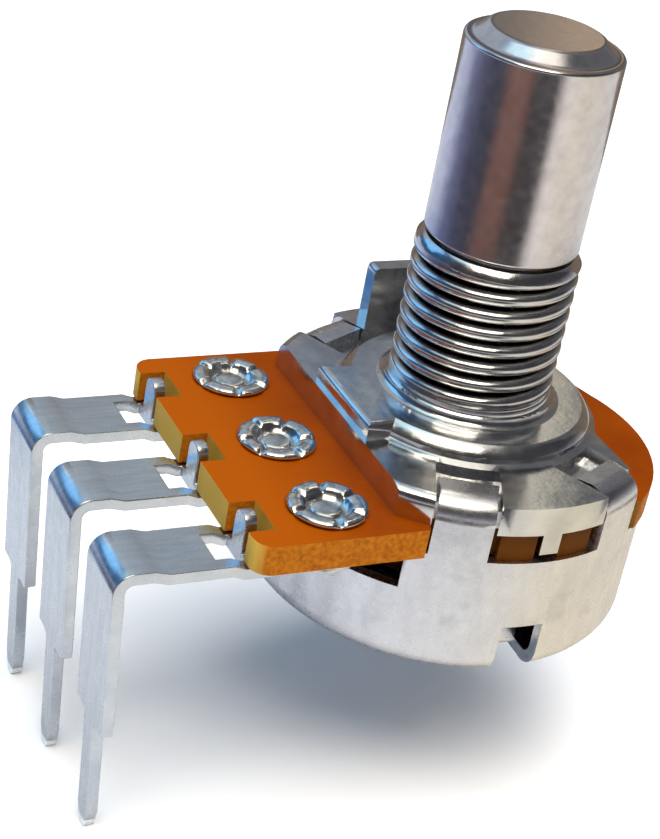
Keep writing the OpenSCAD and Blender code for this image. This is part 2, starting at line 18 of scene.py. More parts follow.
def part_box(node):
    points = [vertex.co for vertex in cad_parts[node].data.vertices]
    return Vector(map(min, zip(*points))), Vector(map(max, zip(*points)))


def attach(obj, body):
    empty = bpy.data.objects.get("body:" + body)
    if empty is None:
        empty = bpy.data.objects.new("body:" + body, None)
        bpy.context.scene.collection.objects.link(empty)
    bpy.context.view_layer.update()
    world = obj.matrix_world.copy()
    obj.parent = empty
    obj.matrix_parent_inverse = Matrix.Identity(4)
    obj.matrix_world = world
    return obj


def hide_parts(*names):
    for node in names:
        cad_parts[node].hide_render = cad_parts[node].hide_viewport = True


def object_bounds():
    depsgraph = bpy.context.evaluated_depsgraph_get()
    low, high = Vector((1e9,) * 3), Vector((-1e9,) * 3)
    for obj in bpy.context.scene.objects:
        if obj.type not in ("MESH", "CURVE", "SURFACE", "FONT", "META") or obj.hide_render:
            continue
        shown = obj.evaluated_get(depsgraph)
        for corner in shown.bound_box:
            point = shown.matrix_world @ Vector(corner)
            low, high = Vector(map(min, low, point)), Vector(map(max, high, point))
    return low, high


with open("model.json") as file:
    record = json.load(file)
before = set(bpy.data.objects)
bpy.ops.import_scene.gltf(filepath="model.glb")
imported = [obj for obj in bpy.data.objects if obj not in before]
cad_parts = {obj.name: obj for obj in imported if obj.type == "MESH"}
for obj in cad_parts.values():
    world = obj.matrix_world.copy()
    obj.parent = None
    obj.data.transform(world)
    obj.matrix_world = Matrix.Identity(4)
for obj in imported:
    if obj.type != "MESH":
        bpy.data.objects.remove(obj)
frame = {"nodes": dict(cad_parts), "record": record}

MM = 0.001
cad_low, cad_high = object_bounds()
print("nodes:", len(frame["nodes"]), "size in mm:", [round(side / MM, 2) for side in cad_high - cad_low])

# %% [markdown]
# ## The camera
# The photograph looks at the part from the terminal side, about 27 degrees
# above it, with the camera rolled so that the shaft leans to the right. A
# camera could be aimed with a tracking constraint, but the roll is easier to
# keep as three plain turns: round the shaft's direction, then the tilt down,
# then the roll about the line of sight.

# %% Place the camera
CAMERA_PLACE = Vector((-41.219, -61.071, 38.158)) * MM
CAMERA_TURN = math.radians(-29.869)
CAMERA_TILT = math.radians(60.807)
CAMERA_ROLL = math.radians(10.977)
LENS = 85.15

aim = Quaternion((0, 0, 1), CAMERA_TURN)
aim = aim @ Quaternion((1, 0, 0), CAMERA_TILT) @ Quaternion((0, 0, 1), CAMERA_ROLL)
camera_data = bpy.data.cameras.new("camera")
camera_data.lens = LENS
camera_data.clip_start = 1 * MM
camera_data.clip_end = 5000 * MM
camera = bpy.data.objects.new("camera", camera_data)
camera.rotation_mode = "QUATERNION"
camera.rotation_quaternion = aim
camera.location = CAMERA_PLACE
bpy.context.scene.collection.objects.link(camera)
bpy.context.scene.camera = camera
print("camera stands", round(CAMERA_PLACE.length / MM, 1), "mm from the shaft's foot")

# %% [markdown]
# ## Small helpers for node materials
# Every finish below is a principled shader whose colour, roughness and bump
# come from procedural textures. Building node trees by hand is wordy, so a
# few short helpers keep each material readable: one adds a node, one blends
# two colours by a mask, one stretches a mask to the wanted contrast, and one
# turns a noise into a wandering roughness.

# %% Node helpers
def add_node(tree, kind, **settings):
    node = tree.nodes.new(kind)
    for name, value in settings.items():
        setattr(node, name, value)
    return node


def feed(tree, socket, source):
    """Set a socket from another socket or from a plain value."""
    if isinstance(source, bpy.types.NodeSocket):
        tree.links.new(source, socket)
    else:
        socket.default_value = source


def place_of(tree, stretch=(1, 1, 1)):
    """Object coordinates in millimetres, stretched along the axes."""
    coordinates = add_node(tree, "ShaderNodeTexCoord")
    mapping = add_node(tree, "ShaderNodeMapping")
    mapping.inputs["Scale"].default_value = [factor / MM for factor in stretch]
    tree.links.new(coordinates.outputs["Object"], mapping.inputs["Vector"])
    return mapping.outputs["Vector"]


def cloud(tree, scale, detail=4, stretch=(1, 1, 1), roughness=0.55):
    """Soft noise; the scale is in features per millimetre."""
    noise = add_node(tree, "ShaderNodeTexNoise")
    noise.inputs["Scale"].default_value = scale
    noise.inputs["Detail"].default_value = detail
    noise.inputs["Roughness"].default_value = roughness
    tree.links.new(place_of(tree, stretch), noise.inputs["Vector"])
    return noise.outputs["Fac"]


def spread(tree, source, low, high, to_low=0.0, to_high=1.0):
    """Stretch a mask so that low and high become the two new ends."""
    ranged = add_node(tree, "ShaderNodeMapRange")
    ranged.inputs["From Min"].default_value = low
    ranged.inputs["From Max"].default_value = high
    ranged.inputs["To Min"].default_value = to_low
    ranged.inputs["To Max"].default_value = to_high
    feed(tree, ranged.inputs["Value"], source)
    return ranged.outputs["Result"]


def tint(tree, mask, colour_a, colour_b):
    """Blend two colours, or two colour sockets, by a mask."""
    mix = add_node(tree, "ShaderNodeMix", data_type="RGBA")
    feed(tree, mix.inputs["Factor"], mask)
    for socket, colour in ((mix.inputs["A"], colour_a), (mix.inputs["B"], colour_b)):
        feed(tree, socket, colour if isinstance(colour, bpy.types.NodeSocket) else (*colour, 1))
    return mix.outputs["Result"]


def gloss_from(tree, noise, smooth, rough):
    """Roughness that wanders between two values with a noise."""
    return spread(tree, noise, 0.3, 0.7, smooth, rough)


# %% Bump, facing masks and the finished shader
def bump(tree, height, depth, under=None):
    """A bump of a given depth in millimetres, laid over an earlier one."""
    relief = add_node(tree, "ShaderNodeBump")
    relief.inputs["Strength"].default_value = 1
    relief.inputs["Distance"].default_value = depth * MM
    tree.links.new(height, relief.inputs["Height"])
    if under is not None:
        tree.links.new(under, relief.inputs["Normal"])
    return relief.outputs["Normal"]


def axes_of(tree, vector):
    """The three parts of a vector, by name."""
    split = add_node(tree, "ShaderNodeSeparateXYZ")
    feed(tree, split.inputs["Vector"], vector)
    return split.outputs


def maths(tree, operation, first, second=0.0):
    node = add_node(tree, "ShaderNodeMath", operation=operation)
    feed(tree, node.inputs[0], first)
    feed(tree, node.inputs[1], second)
    return node.outputs["Value"]


def facing(tree):
    """The direction that a surface faces."""
    return axes_of(tree, add_node(tree, "ShaderNodeNewGeometry").outputs["Normal"])


def facing_up(tree):
    """How far a surface faces up or down: 1 on flat faces, 0 on walls."""
    return maths(tree, "ABSOLUTE", facing(tree)["Z"])


def new_material(name, metallic=0.0, shine=0.5):
    material = bpy.data.materials.new(name)
    material.use_nodes = True
    shader = material.node_tree.nodes["Principled BSDF"]
    shader.inputs["Metallic"].default_value = metallic
    shader.inputs["Specular IOR Level"].default_value = shine
    return material


def finish_material(material, colour, roughness, normal=None):
    tree = material.node_tree
    shader = tree.nodes["Principled BSDF"]
    feed(tree, shader.inputs["Base Color"], colour)
    feed(tree, shader.inputs["Roughness"], roughness)
    if normal is not None:
        tree.links.new(normal, shader.inputs["Normal"])
    print("material", material.name, "has", len(tree.nodes), "nodes")
    return material


# %% [markdown]
# ## Polished steel for the shaft
# The shaft is turned from free-cutting steel and plated. It mirrors the room
# in long upright bands, a little broken up by handling marks. Turning leaves
# fine rings, so the bump noise is squeezed along the shaft and drawn out
# round it, and a slow noise varies the gloss. In the photograph the flat end
# is brown. That brown is a painted reflection, laid on by a mask of the faces
# that look straight up.

# %% Shaft steel
STEEL_PALE = (0.74, 0.72, 0.74)
STEEL_DULL = (0.62, 0.59, 0.61)
STEEL_END_REFLECTION = (0.30, 0.20, 0.15)


def shaft_steel():
    material = new_material("shaft_steel", metallic=1)
    tree = material.node_tree
    marks = spread(tree, cloud(tree, 1.6, 5), 0.35, 0.7)
    colour = tint(tree, marks, STEEL_PALE, STEEL_DULL)
    # Painted reflection: the faces that look straight up, the flat end, are tinted brown.
    end_reflection_mask = spread(tree, facing_up(tree), 0.93, 0.99)
    colour = tint(tree, end_reflection_mask, colour, STEEL_END_REFLECTION)
    gloss = gloss_from(tree, cloud(tree, 3.0, 4), 0.15, 0.23)
    rings = cloud(tree, 1.0, 2, stretch=(0.15, 0.15, 14))
    dents = cloud(tree, 1.1, 2)
    normal = bump(tree, rings, 0.001)
    normal = bump(tree, dents, 0.010, under=normal)
    return finish_material(material, colour, gloss, normal)


# %% [markdown]
# ## Die-cast zinc for the bush and flange
# The casting is zinc with a thin bright plating, and it keeps the faintly
# mottled skin of the die. Two noises make the mottling, and the finer one
# also lifts the surface by a few thousandths of a millimetre. The thread's
# grooves are almost black in the photograph, and that darkness is painted
# shade. It could be painted by hand, but a mask that measures how far a point
# lies from the shaft's axis finds every groove by itself.

# %% Die-cast zinc
ZINC_GREY = (0.60, 0.61, 0.63)
ZINC_PALE = (0.76, 0.75, 0.73)
ZINC_SPECK = (0.46, 0.48, 0.52)
GROOVE_SHADE_BLACK = (0.035, 0.028, 0.030)
LIT_CREST_R, SHADED_GROOVE_R = 3.33, 3.12
GROOVE_FOOT, GROOVE_TOP = (0.3, 0.7), (6.4, 6.1)


def groove_shade_mask(tree):
    """Painted shade: 1 in the thread's grooves, 0 on its crests and above and below it."""
    place = axes_of(tree, place_of(tree))
    squares = [maths(tree, "POWER", place[axis], 2.0) for axis in ("X", "Y")]
    reach = maths(tree, "SQRT", maths(tree, "ADD", *squares))
    mask = spread(tree, reach, LIT_CREST_R, SHADED_GROOVE_R)
    for ends in (GROOVE_FOOT, GROOVE_TOP):
        mask = maths(tree, "MULTIPLY", mask, spread(tree, place["Z"], *ends))
    return mask


def die_cast_zinc():
    material = new_material("die_cast_zinc", metallic=1)
    tree = material.node_tree
    mottle = spread(tree, cloud(tree, 0.8, 4), 0.36, 0.66)
    grain = cloud(tree, 6, 4)
    colour = tint(tree, mottle, ZINC_GREY, ZINC_PALE)
    colour = tint(tree, spread(tree, grain, 0.6, 0.85), colour, ZINC_SPECK)
    # Painted shade: the thread's grooves are darkened toward black.
    colour = tint(tree, groove_shade_mask(tree), colour, GROOVE_SHADE_BLACK)
    gloss = gloss_from(tree, cloud(tree, 1.6, 3), 0.13, 0.22)
    normal = bump(tree, cloud(tree, 0.9, 3), 0.016)
    normal = bump(tree, grain, 0.0025, under=normal)
    return finish_material(material, colour, gloss, normal)


# %% [markdown]
# ## Paper phenolic for the wafer
# The wafer is punched from phenolic-bonded paper: a warm orange-brown board
# with a slightly glossy face, and yellow-brown walls where the punch tore the
# fibres. Which way the surface faces chooses between wall and face colour, so
# no texture is drawn for it, and the walls that face the terminal side take a
# paler painted light. Thin stretched noise stands for the paper's fibres. Two
# more masks go by place: painted shade keeps the face darker near the casting,
# so it turns orange toward the terminals, and the walls seen through the
# windows under the flange's ears are painted dark brown as shade.

# %% Phenolic board
FACE_BROWN = (0.235, 0.042, 0.0008)
FACE_DEEP = (0.180, 0.029, 0.0008)
FIBRE_PALE = (0.27, 0.065, 0.003)
UNSHADED_ORANGE = (0.31, 0.064, 0.001)
WALL_YELLOW = (0.50, 0.160, 0.010)
WALL_BROWN = (0.30, 0.08, 0.004)
LIT_WALL_PALE = (0.56, 0.36, 0.070)
WINDOW_SHADE_BROWN = (0.12, 0.038, 0.005)
CASTING_SHADE_FADE = (-6.5, -10.5)
WINDOW_SHADE_FADES = ((-5.0, -3.5), (5.4, 4.6))


def phenolic():
    material = new_material("phenolic", shine=0.03)
    tree = material.node_tree
    fibres = cloud(tree, 2.2, 6, stretch=(1, 3.5, 1))
    clouds = spread(tree, cloud(tree, 0.35, 3), 0.3, 0.7)
    face = tint(tree, clouds, FACE_BROWN, FACE_DEEP)
    face = tint(tree, spread(tree, fibres, 0.5, 0.85, 0, 0.35), face, FIBRE_PALE)
    place = axes_of(tree, place_of(tree))
    # Painted shade: the face stays darker near the casting and turns orange toward the terminals.
    face = tint(tree, spread(tree, place["X"], *CASTING_SHADE_FADE), face, UNSHADED_ORANGE)
    wall = tint(tree, spread(tree, cloud(tree, 5, 4), 0.35, 0.7), WALL_YELLOW, WALL_BROWN)
    # Painted light: walls that face the terminal side are painted paler.
    wall = tint(tree, spread(tree, facing(tree)["X"], -0.5, -0.9), wall, LIT_WALL_PALE)
    # Painted shade: the walls under the flange's ears, seen through the windows, are darkened to brown.
    window = [spread(tree, place["X"], *fade) for fade in WINDOW_SHADE_FADES]
    wall = tint(tree, maths(tree, "MULTIPLY", *window), wall, WINDOW_SHADE_BROWN)
    colour = tint(tree, spread(tree, facing_up(tree), 0.3, 0.9), wall, face)
    gloss = gloss_from(tree, fibres, 0.34, 0.5)
    normal = bump(tree, fibres, 0.008)
    return finish_material(material, colour, gloss, normal)


# %% [markdown]
# ## Tinned brass, plated steel and the eyelets' tin
# The terminals are stamped from tinned brass: satin and almost white, with
# faint streaks along the strip. The drawn cover is plated steel: brighter,
# with faint smudges. The eyelets' tin is glossier and more patchy. All three
# share one recipe with different colours, streaks and gloss.

# %% Satin plated sheet
SMUDGE_GREY = (0.42, 0.42, 0.47)


def satin_plate(name, pale, dull, stretch, glosses, smudge=0.0):
    material = new_material(name, metallic=1)
    tree = material.node_tree
    streaks = cloud(tree, 1.4, 5, stretch=stretch)
    colour = tint(tree, spread(tree, streaks, 0.35, 0.7), pale, dull)
    stains = spread(tree, cloud(tree, 0.55, 5), 0.58, 0.75, 0, smudge)
    colour = tint(tree, stains, colour, SMUDGE_GREY)
    gloss = gloss_from(tree, cloud(tree, 1.9, 4), *glosses)
    normal = bump(tree, streaks, 0.002)
    normal = bump(tree, cloud(tree, 0.8, 2), 0.008, under=normal)
    return finish_material(material, colour, gloss, normal)


# %% [markdown]
# ## The finishes that show only in gaps
# The washer, ring, rotor, wiper and printed tracks sit inside. They can be
# glimpsed through the cover's notch and opening, so each still gets its own
# grain: turned brass, blued spring steel, moulded brown resin, bronze sheet,
# matt carbon ink and silver ink.

# %% Hidden finishes
def plain_finish(name, metallic, pale, dull, glosses, grain, depth):
    material = new_material(name, metallic=metallic)
    tree = material.node_tree
    specks = cloud(tree, grain, 5)
    colour = tint(tree, spread(tree, specks, 0.35, 0.7), pale, dull)
    gloss = gloss_from(tree, specks, *glosses)
    return finish_material(material, colour, gloss, bump(tree, specks, depth))


# %% Make the materials
finishes = {
    "shaft_steel": shaft_steel(),
    "die_cast_zinc": die_cast_zinc(),
    "phenolic": phenolic(),
    "tinned_brass": satin_plate(
        "tinned_brass", (0.74, 0.77, 0.80), (0.62, 0.66, 0.70), (0.4, 3, 0.4), (0.24, 0.34)),
    "plated_steel": satin_plate(
        "plated_steel", (0.80, 0.80, 0.83), (0.70, 0.70, 0.74), (1, 1, 0.4), (0.22, 0.32), smudge=0.5),
    "eyelet_tin": satin_plate(
        "eyelet_tin", (0.80, 0.79, 0.76), (0.52, 0.52, 0.52), (2, 2, 2), (0.14, 0.26)),
    "washer_brass": plain_finish(
        "washer_brass", 1, (0.80, 0.58, 0.28), (0.66, 0.45, 0.20), (0.2, 0.35), 3, 0.004),
    "spring_steel": plain_finish(
        "spring_steel", 1, (0.34, 0.33, 0.33), (0.22, 0.22, 0.25), (0.25, 0.4), 3, 0.004),
    "rotor_phenolic": plain_finish(
        "rotor_phenolic", 0, (0.16, 0.06, 0.025), (0.10, 0.035, 0.015), (0.35, 0.5), 4, 0.01),
    "phosphor_bronze": plain_finish(
        "phosphor_bronze", 1, (0.78, 0.47, 0.28), (0.66, 0.38, 0.22), (0.2, 0.32), 3, 0.003),
    "carbon_print": plain_finish(
        "carbon_print", 0, (0.022, 0.022, 0.024), (0.012, 0.012, 0.012), (0.5, 0.65), 8, 0.006),
    "silver_print": plain_finish(
        "silver_print", 1, (0.72, 0.72, 0.70), (0.60, 0.59, 0.57), (0.4, 0.55), 8, 0.006),
}

# %% [markdown]
# ## Breaking the edges
# Real edges are never knife sharp: punching, casting and turning all leave a
# small round that draws a light line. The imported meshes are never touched,
# so a piece that needs this is copied, its flat faces are merged back from
# triangles, and a bevel is laid along its sharp edges. The copy then stands
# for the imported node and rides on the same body.

# %% Copy a node and round its edges
WELD = 0.0005
FLAT = math.radians(0.4)
SHARP = math.radians(28)
CREASE = math.radians(40)
node_body = {}
for body_name, members in frame["record"]["behaviour"]["bodies"].items():
    for member in members:
        node_body[member] = body_name


def show_as(piece, node, finish):
    """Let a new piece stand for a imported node, with its body and finish."""
    piece.data.materials.clear()
    piece.data.materials.append(finishes[finish])
    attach(piece, node_body[node])
    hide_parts(node)
    return piece


def new_piece(name, working):
    """Turn a working mesh into an object of its own."""
    mesh = bpy.data.meshes.new(name)
    working.to_mesh(mesh)
    working.free()
    piece = bpy.data.objects.new(name, mesh)
    bpy.context.scene.collection.objects.link(piece)
    return piece


def merged_copy(node):
    """A working copy of a node, with its flat triangles merged."""
    working = bmesh.new()
    working.from_mesh(frame["nodes"][node].data)
    bmesh.ops.remove_doubles(working, verts=working.verts, dist=WELD * MM)
    bmesh.ops.dissolve_limit(
        working, angle_limit=FLAT, verts=working.verts, edges=working.edges)
    return working


def apply_modifiers(piece):
    """Bake a piece's modifiers into its mesh."""
    graph = bpy.context.evaluated_depsgraph_get()
    mesh = bpy.data.meshes.new_from_object(piece.evaluated_get(graph))
    piece.modifiers.clear()
    piece.data = mesh


def soften(piece, width, segments=2):
    """Round the sharp edges and shade the rest smooth."""
    bevel = piece.modifiers.new("edges", "BEVEL")
    bevel.width = width * MM
    bevel.segments = segments
    bevel.limit_method = "ANGLE"
    bevel.angle_limit = SHARP
    bevel.use_clamp_overlap = True
    bevel.harden_normals = False
    apply_modifiers(piece)
    for face in piece.data.polygons:
        face.use_smooth = True
    piece.data.set_sharp_from_angle(angle=CREASE)
    weighted = piece.modifiers.new("shading", "WEIGHTED_NORMAL")
    weighted.keep_sharp = True
    apply_modifiers(piece)


def reshape(working, move):
    """Move the corners of a working copy; sizes are in millimetres."""
    for corner in working.verts:
        x, y, z = corner.co / MM
        corner.co = Vector(move(x, y, z)) * MM


def at_radius(x, y, radius):
    """The same direction from the axis, at another distance."""
    share = radius / math.hypot(x, y)
    return x * share, y * share


def edged_copy(name, node, finish, width, segments=2, move=None):
    working = merged_copy(node)
    if move is not None:
        reshape(working, move)
    piece = new_piece(name, working)
    soften(piece, width, segments)
    show_as(piece, node, finish)
    print(name, "stands for", node, "with", len(piece.data.polygons), "faces")
    return piece


# %% [markdown]
# ## The thread
# The bush carries a fine thread. Its crests lie 0.77 mm apart in the
# photograph, near the usual 0.75 mm, and its grooves are round. A thread
# could be a bump, but its crests show at the silhouette, so it is real
# geometry. A sleeve is built whose inner surface is the thread, and it is
# taken away from a copy of the casting, which leaves the flange and the bore
# as they were.

# %% Thread sizes
def mount_named(name):
    return next(mount for mount in frame["record"]["mounts"] if mount["name"] == name)


BUSH_R = mount_named("bush_thread")["dims"]["r_mm"]
CREST_R = BUSH_R - 0.08
CREST_SKIM = 0.012
CREST_TOP = 6.7
TOP_CHAMFER = 0.35
PITCH = 0.77
DEPTH = 0.46
CREST_SHARE = 0.10
FLANK_CURVE = 2.2
THREAD_FOOT = 0.55
LAND_FOOT = 6.0
FADE = 0.45


def tooth(share):
    """Height of the thread form, 0 at the root and 1 at the crest."""
    from_crest = abs((share % 1) - 0.5) * 2
    ramp = max((from_crest - CREST_SHARE) / (1 - CREST_SHARE), 0)
    return 1 - ramp ** FLANK_CURVE


def thread_radius(angle, height):
    """Distance of the thread's surface from the axis, in millimetres."""
    form = tooth(height / PITCH - angle / (2 * math.pi))
    run_in = min(max((height - THREAD_FOOT) / FADE, 0), 1)
    run_out = min(max((LAND_FOOT + FADE - height) / FADE, 0), 1)
    return CREST_R - CREST_SKIM - DEPTH * (1 - form) * run_in * run_out


print("thread turns:", round((LAND_FOOT - THREAD_FOOT) / PITCH, 1))

# %% [markdown]
# ## Trimming the casting to the photograph
# Measured in the photograph, the bush is a little lower and thinner than its
# nominal size, the locating lug is a thin plate, and the raised face has a
# wide soft edge. These are moves of whole edges, so the copy's corners are
# carried to their measured places before the bevel is laid. Each corner is
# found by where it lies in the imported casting.

# %% Casting corners
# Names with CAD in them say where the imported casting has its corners.
SLACK, FINE_SLACK = 0.01, 0.005
LUG_NEAR, LUG_THICK = 7.25, 0.75
LUG_HALF, LUG_TOP = 1.15, 1.75
lug_place = mount_named("locating_lug")["pos_m"]
CAD_LUG_Y, CAD_LUG_TOP = lug_place[1] / MM, lug_place[2] / MM
CAD_LUG_HALF = 1.5
CAD_LUG_FRONT, CAD_LUG_BACK = 7.0, 8.2
LUG_WAIST = 1
FLANGE_TOP = -0.75
SEAT_Z = -1.25
SEAT_CORNER = 7.35
CAD_SEAT_R = (7.6, 7.8)
COLLAR_TOP, COLLAR_LOW = -0.50, -0.64
CAD_COLLAR_R = (5.2, 5.45)
FACE_R, FACE_ROUND = 5.3, 0.28
FACE_CHAMFER, FACE_BULGE = 0.42, 0.3
CAD_BUSH_FOOT, CAD_BUSH_WAIST, CAD_BUSH_CROWN = 0.35, 6, 6.8
CAD_BORE_EDGE_R, CAD_BUSH_WALL_R = 2.8, 3.2


def face_edge(x, y, z, radius):
    """Carry the raised face's round edge to a wider, flatter one."""
    turn = math.atan2(z + FACE_ROUND, radius - FACE_R + FACE_ROUND)
    share = turn / (math.pi / 2)
    chord = Vector((-share, share - 1)) * FACE_CHAMFER
    arc = Vector((math.cos(turn) - 1, math.sin(turn) - 1)) * FACE_CHAMFER
    step = chord.lerp(arc, FACE_BULGE)
    x, y = at_radius(x, y, FACE_R + step.x)
    return x, y, step.y


def trim_casting(x, y, z):
    radius = math.hypot(x, y)
    on_lug = abs(x) < CAD_LUG_HALF + SLACK and CAD_LUG_FRONT - SLACK < y < CAD_LUG_BACK + FINE_SLACK
    on_lug = on_lug and z > FLANGE_TOP - SLACK
    on_face_edge = -FACE_ROUND - FINE_SLACK < z < 0.001
    on_face_edge = on_face_edge and FACE_R - FACE_ROUND - FINE_SLACK < radius < FACE_R + FINE_SLACK
    if on_lug and (abs(abs(x) - CAD_LUG_HALF) < SLACK or z > FLANGE_TOP + 5 * SLACK):
        x = x * LUG_HALF / CAD_LUG_HALF
        y = LUG_NEAR if y < CAD_LUG_Y else LUG_NEAR + LUG_THICK
        if z > LUG_WAIST:
            z = z - CAD_LUG_TOP + LUG_TOP
    elif z > CAD_BUSH_CROWN:
        z = CREST_TOP
        if radius > CAD_BORE_EDGE_R:
            x, y = at_radius(x, y, CREST_R - TOP_CHAMFER)
    elif z > CAD_BUSH_FOOT and radius > CAD_BUSH_WALL_R:
        x, y = at_radius(x, y, CREST_R)
        if z > CAD_BUSH_WAIST:
            z = CREST_TOP - TOP_CHAMFER
    elif abs(z - SEAT_Z) < SLACK and CAD_SEAT_R[0] < radius < CAD_SEAT_R[1]:
        x, y = at_radius(x, y, SEAT_CORNER)
    elif abs(z - COLLAR_TOP) < SLACK and CAD_COLLAR_R[0] < radius < CAD_COLLAR_R[1]:
        z = COLLAR_LOW
    elif on_face_edge:
        x, y, z = face_edge(x, y, z, radius)
    return x, y, z


# %% Build the cutting sleeve
SLEEVE_R = 5
SLEEVE_OVER = 0.5
SLEEVE_LIP = 0.01


def round_spot(radius, angle, height):
    return radius * math.cos(angle), radius * math.sin(angle), height


def add_ring(working, around, spot):
    """A closed ring of corners; spot gives each one from its angle, in millimetres."""
    angles = [2 * math.pi * step / around for step in range(around)]
    return [working.verts.new(Vector(spot(angle)) * MM) for angle in angles]


def join_rings(working, rings):
    """Lay faces between each ring and the next."""
    for lower, upper in zip(rings, rings[1:]):
        for step in range(len(lower)):
            after = (step + 1) % len(lower)
            working.faces.new((lower[step], lower[after], upper[after], upper[step]))


def thread_sleeve(around=160, rows_per_turn=12):
    low, high = THREAD_FOOT, CREST_TOP + SLEEVE_OVER
    rows = int((high - low) / PITCH * rows_per_turn)
    working = bmesh.new()
    lip = CREST_R + SLEEVE_LIP
    rings = [add_ring(working, around, lambda angle: round_spot(lip, angle, low))]
    for row in range(1, rows + 1):
        height = low + (high - low) * row / rows
        rings.append(add_ring(
            working, around, lambda angle: round_spot(thread_radius(angle, height), angle, height)))
    for height in (high, low):
        rings.append(add_ring(working, around, lambda angle: round_spot(SLEEVE_R, angle, height)))
    join_rings(working, rings + rings[:1])
    bmesh.ops.recalc_face_normals(working, faces=working.faces)
    return new_piece("thread_sleeve", working)


# %% Cut the thread and round the casting's edges
THREAD_CREASE = math.radians(42)


def threaded_casting():
    working = merged_copy("mounting_bush")
    reshape(working, trim_casting)
    piece = new_piece("threaded_casting", working)
    soften(piece, 0.07)
    sleeve = thread_sleeve()
    cut = piece.modifiers.new("thread", "BOOLEAN")
    cut.operation = "DIFFERENCE"
    cut.solver = "EXACT"
    cut.object = sleeve
    apply_modifiers(piece)
    bpy.data.objects.remove(sleeve)
    for face in piece.data.polygons:
        face.use_smooth = True
    piece.data.set_sharp_from_angle(angle=THREAD_CREASE)
    show_as(piece, "mounting_bush", "die_cast_zinc")
    print("threaded casting has", len(piece.data.polygons), "faces")
    return piece


threaded_casting()

# %% [markdown]
# ## Rolled eyelets
# Each terminal is riveted to the wafer by an eyelet. The tool that rolls its
# head splits the rim into petals, and each eyelet comes out a little
# different. One outline is carried round the eyelet's axis as rings of
# corners, and its height and width shrink at the splits and wander slightly
# from petal to petal. A screw modifier would turn the outline too, but then
# every petal would be alike.

# %% Eyelet outline and petals
PETALS = 6
SPLIT_ANGLE = 0.09
SPLIT_JITTER = 0.16
SPLIT_DROP, SPLIT_PULL = 0.55, 0.035
PETAL_DROP = 0.035
RING_STRETCH = 2.0
ROLL_START, ROLL_SWEEP, ROLL_STEPS = 170, 205, 10
BORE_R, BARREL_R = 0.65, 1.0
BASE_R, BASE_T = 1.45, 0.22
SUNKEN_CENTRE = [
    (0.0, 0.07, 0.0), (0.44, 0.08, 0.0), (0.62, 0.03, 0.0), (0.72, -0.10, 0.1), (0.82, -0.08, 0.3),
]


def eyelet_outline(low, head_r, roll, top):
    """The outline from the sunken centre outward and down to the base.

    Each point has its distance from the axis, its height and how far the
    splits reach into it. Steps of 0.02 to 0.12 mm round the corners.
    """
    outline = [(reach, top + rise, share) for reach, rise, share in SUNKEN_CENTRE]
    centre_r = head_r - roll * RING_STRETCH
    for step in range(ROLL_STEPS + 1):
        angle = math.radians(ROLL_START - ROLL_SWEEP * step / ROLL_STEPS)
        reach = centre_r + roll * RING_STRETCH * math.cos(angle)
        outline.append((reach, top + roll + roll * math.sin(angle), 1.0))
    outline.append((centre_r, top, 0.3))
    below = [
        (BARREL_R + 0.02, top), (BARREL_R, top - 0.1),
        (BARREL_R, low + BASE_T + 0.03), (BASE_R - 0.05, low + BASE_T),
        (BASE_R, low + BASE_T / 2), (BASE_R - 0.06, low),
        (BORE_R + 0.12, low), (BORE_R, low + 0.12),
        (BORE_R, low + 0.5), (0.0, low + 0.5),
    ]
    return outline + [(reach, height, 0.0) for reach, height in below]


# %% Build the three eyelets
EYELET_WELD = 0.001
EYELET_CREASE = math.radians(60)


def rolled_eyelet(node, seed, around=120):
    low, high = [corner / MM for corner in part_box(node)]
    wafer_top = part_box("wafer")[1].z / MM
    axis = Vector(((low.x + high.x) / 2, (low.y + high.y) / 2))
    head_r = (high.x - low.x) / 2
    roll = (high.z - wafer_top) / 2
    wander = random.Random(seed)
    turn = wander.uniform(0, 2 * math.pi)
    splits = []
    for petal in range(PETALS):
        jitter = wander.uniform(-SPLIT_JITTER, SPLIT_JITTER)
        splits.append(turn + 2 * math.pi * petal / PETALS + jitter)
    lifts = [wander.uniform(-PETAL_DROP, 0.0) for _ in range(PETALS)]

    def rim_spot(reach, angle, height, share):
        offs = [abs(math.remainder(angle - split, 2 * math.pi)) for split in splits]
        nearest = offs.index(min(offs))
        gap = math.exp(-(offs[nearest] / SPLIT_ANGLE) ** 2) * share
        drop = gap * SPLIT_DROP * max(height - wafer_top, 0)
        pull = 1 - SPLIT_PULL * gap
        lift = lifts[nearest] * share
        spot = axis + Vector((math.cos(angle), math.sin(angle))) * reach * pull
        return spot.x, spot.y, height - drop + lift

    working = bmesh.new()
    rings = []
    for reach, height, share in eyelet_outline(low.z, head_r, roll, wafer_top):
        rings.append(add_ring(
            working, around, lambda angle: rim_spot(reach, angle, height, share)))
    join_rings(working, rings)
    bmesh.ops.remove_doubles(working, verts=working.verts, dist=EYELET_WELD * MM)
    bmesh.ops.recalc_face_normals(working, faces=working.faces)
    for face in working.faces:
        face.smooth = True
    piece = new_piece("rolled_" + node, working)
    piece.data.set_sharp_from_angle(angle=EYELET_CREASE)
    show_as(piece, node, "eyelet_tin")
    print(piece.name, "has", len(piece.data.polygons), "faces")
    return piece


for number in (1, 2, 3):
    rolled_eyelet("eyelet_%d" % number, seed=40 + number)

# %% [markdown]
# ## The remaining pieces
# The other outer pieces are softened copies as well. Some of their corners
# are first carried to places measured in the photograph: a flatter, wider
# chamfer on the shaft, rounder folds on the cover's tabs, a lobe that is
# punched off centre on the wafer, and straighter terminal strips. They could
# be sculpted by hand, but a rule for each corner can be read and changed. The
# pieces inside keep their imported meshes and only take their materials.

